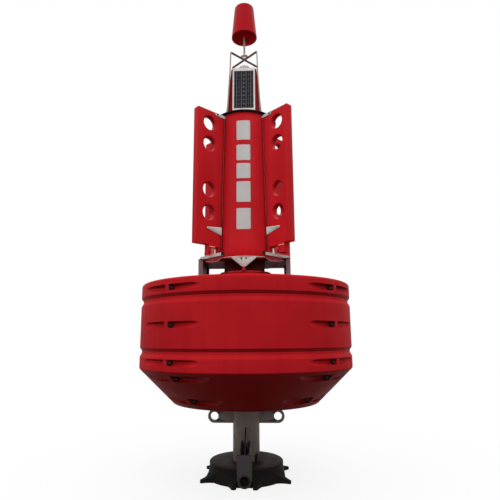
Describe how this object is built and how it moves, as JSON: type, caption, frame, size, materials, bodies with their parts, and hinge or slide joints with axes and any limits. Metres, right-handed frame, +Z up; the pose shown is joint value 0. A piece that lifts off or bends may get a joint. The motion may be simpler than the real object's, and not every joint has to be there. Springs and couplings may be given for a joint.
{
  "type": "navigation buoy",
  "caption": "Modular lateral navigation buoy: ring float on a steel tube with a cast counterweight, finned daymark, solar lantern pylon and can topmark.",
  "frame": {"origin": "centre of the tube's axis on the ground under the counterweight", "axes": "+Z up along the tube, -Y the front with one mooring lug, +X towards the right padeye"},
  "size_m": [2.8698, 2.8698, 7.03],
  "materials": {
    "float_plastic": "moulded polyethylene, faded by sun, satin",
    "tail_steel": "dark grey coated steel, weathered",
    "ballast_iron": "black coated casting with rust at the edges",
    "deck_steel": "dark maroon paint",
    "galvanised": "hot-dip galvanised, dull spangle",
    "daymark_plastic": "moulded polyethylene, satin",
    "cover_black": "black, dull",
    "pylon_red": "dark red moulding",
    "solar_module": "clear anodised frame round dark cells",
    "lantern_grey": "pale grey coated casting",
    "lantern_clear": "clear lens under a pale dome",
    "can_red": "red moulding with a soft sheen"
  },
  "bodies": {
    "root": {"float_module_1": "float_plastic", "float_module_2": "float_plastic", "float_module_3": "float_plastic", "float_module_4": "float_plastic", "tail_tube": "tail_steel", "float_seat": "tail_steel", "padeye_right": "tail_steel", "padeye_left": "tail_steel", "mooring_lug_front": "tail_steel", "mooring_lug_back": "tail_steel", "keeper_blocks": "tail_steel", "counterweight": "ballast_iron", "deck_frame": "deck_steel", "pedestal": "deck_steel", "fin_foot_1": "galvanised", "fin_foot_2": "galvanised", "fin_foot_3": "galvanised", "fin_foot_4": "galvanised", "base_ring": "galvanised", "v_gusset_front": "galvanised", "v_gusset_back": "galvanised", "topmark_frame": "galvanised", "topmark_pole": "galvanised", "foot_bracket": "galvanised", "fin_channel_1": "galvanised", "fin_channel_2": "galvanised", "fin_channel_3": "galvanised", "fin_channel_4": "galvanised", "rod_knobs": "daymark_plastic", "daymark_core": "daymark_plastic", "daymark_panel_back": "daymark_plastic", "daymark_panel_left": "daymark_plastic", "daymark_panel_front": "daymark_plastic", "daymark_panel_right": "daymark_plastic", "fin_1": "daymark_plastic", "fin_2": "daymark_plastic", "fin_3": "daymark_plastic", "fin_4": "daymark_plastic", "cover_disc": "cover_black", "pylon_housing": "pylon_red", "solar_panel_front": "solar_module", "solar_panel_back": "solar_module", "lantern_base": "lantern_grey", "lantern_lens": "lantern_clear", "topmark_can": "can_red"}
  },
  "joints": []
}
